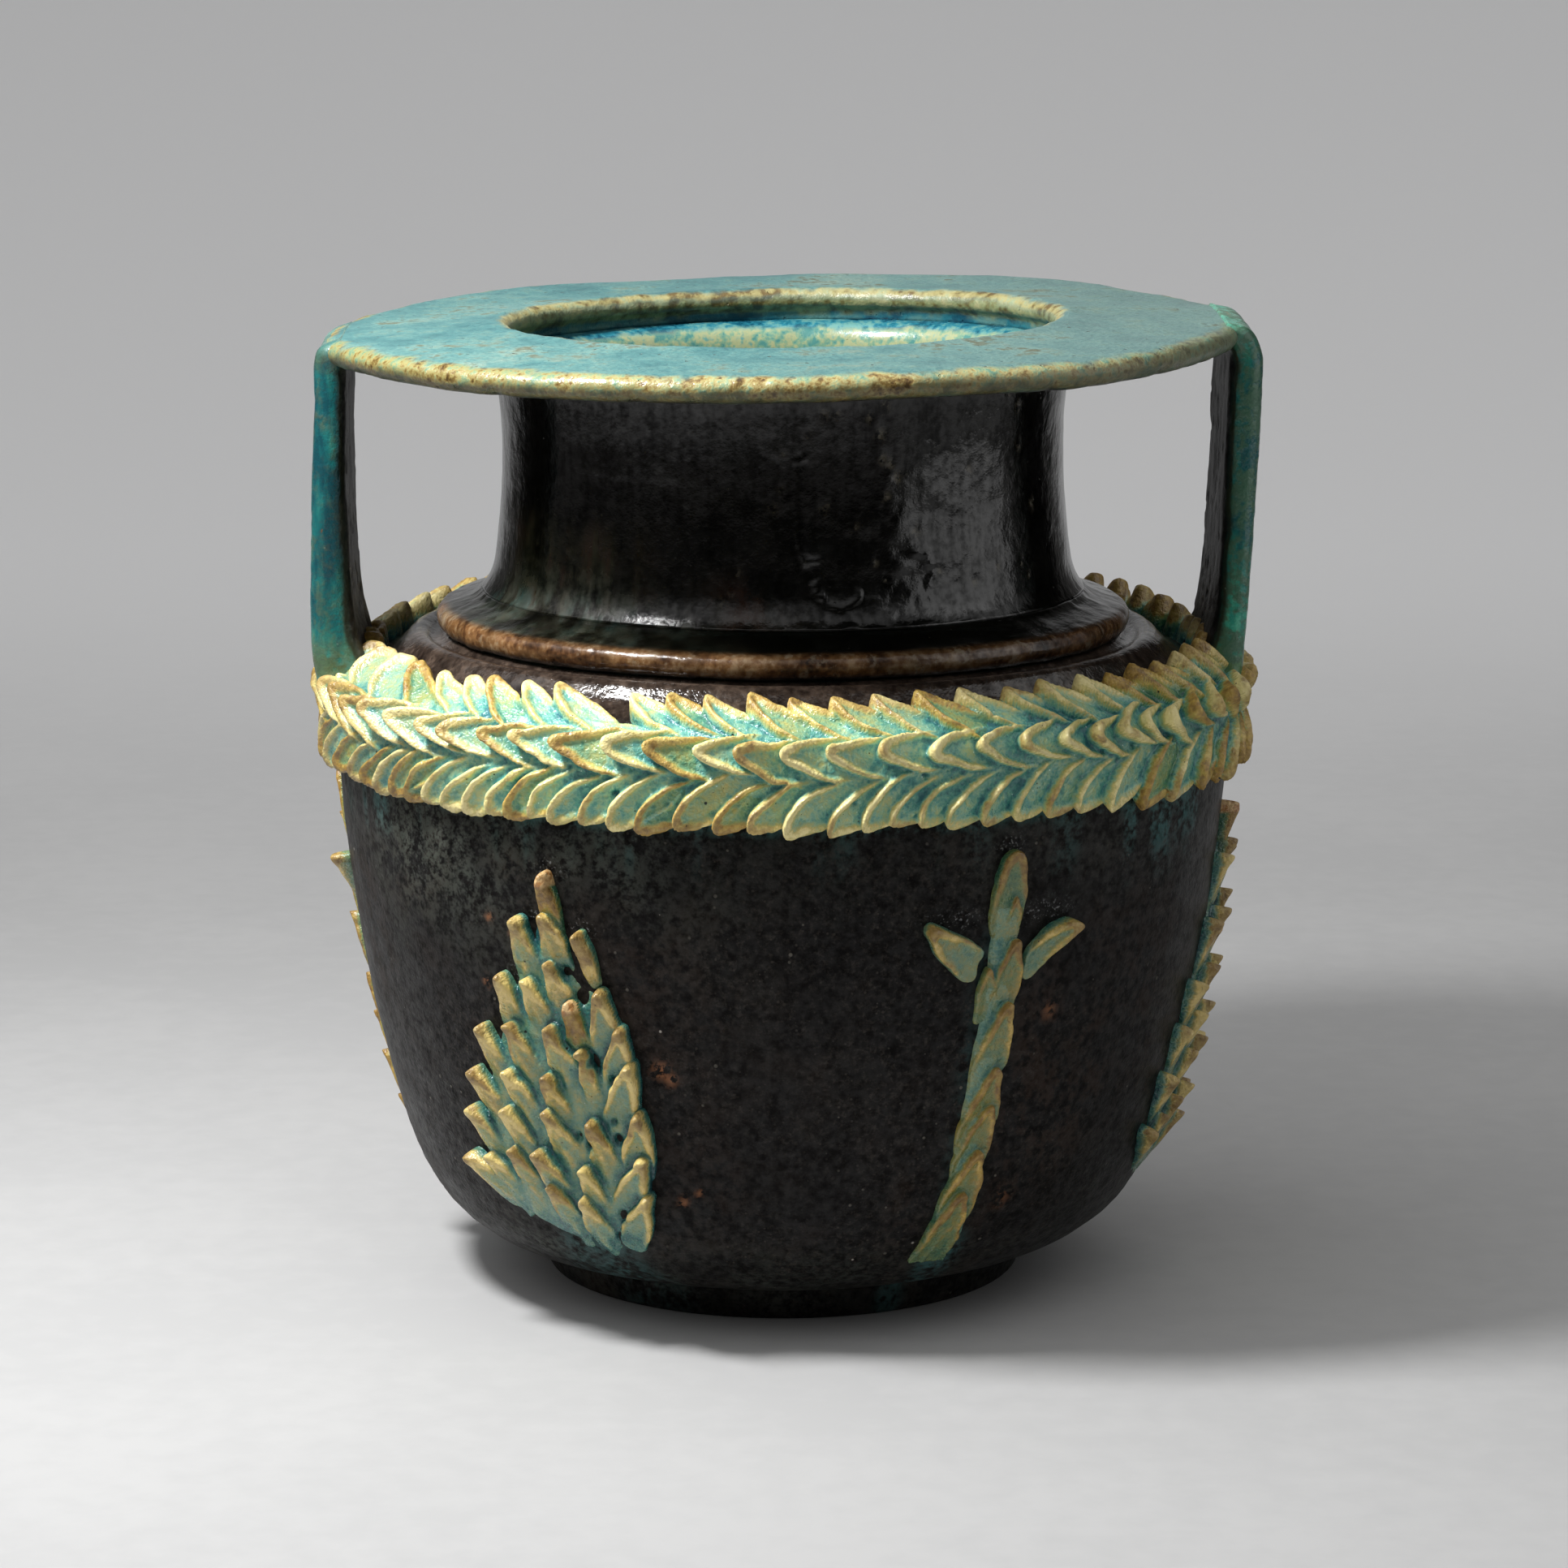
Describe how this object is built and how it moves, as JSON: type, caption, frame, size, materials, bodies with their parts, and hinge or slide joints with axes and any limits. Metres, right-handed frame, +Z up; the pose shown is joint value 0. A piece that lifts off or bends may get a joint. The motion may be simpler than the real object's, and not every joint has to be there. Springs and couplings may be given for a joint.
{
  "type": "two-handled faience jar",
  "caption": "Glazed jar with a broad flat rim, short neck, two strap handles from rim to shoulder, a leaf garland round the shoulder and raised leaf clusters on the bowl.",
  "frame": {"origin": "centre of the foot, on the surface that the jar stands on", "axes": "+Z up through the mouth, +X towards the right handle, -Y towards the side the picture shows"},
  "size_m": [0.1862, 0.1862, 0.19],
  "materials": {
    "dark_glaze_low": "near-black manganese glaze, weathered to a satin with fine pale specks",
    "dark_glaze_high": "glossy black to olive-brown glaze with pits",
    "turquoise_glaze": "glossy turquoise glaze, ochre where it thins on the edges",
    "leaf_glaze": "glossy pale green glaze, cream on the ridges and turquoise in the hollows"
  },
  "bodies": {
    "root": {"foot_ring": "dark_glaze_low", "bowl": "dark_glaze_low", "shoulder": "dark_glaze_high", "collar_ring": "dark_glaze_high", "neck": "dark_glaze_high", "rim_plate": "turquoise_glaze", "handle_left": "turquoise_glaze", "handle_right": "turquoise_glaze", "garland_front": "leaf_glaze", "garland_back": "leaf_glaze", "leaf_cluster_front": "leaf_glaze", "leaf_cluster_right": "leaf_glaze", "leaf_cluster_back": "leaf_glaze", "stalk_front": "leaf_glaze", "stalk_back": "leaf_glaze", "stalk_left": "leaf_glaze"}
  },
  "joints": []
}
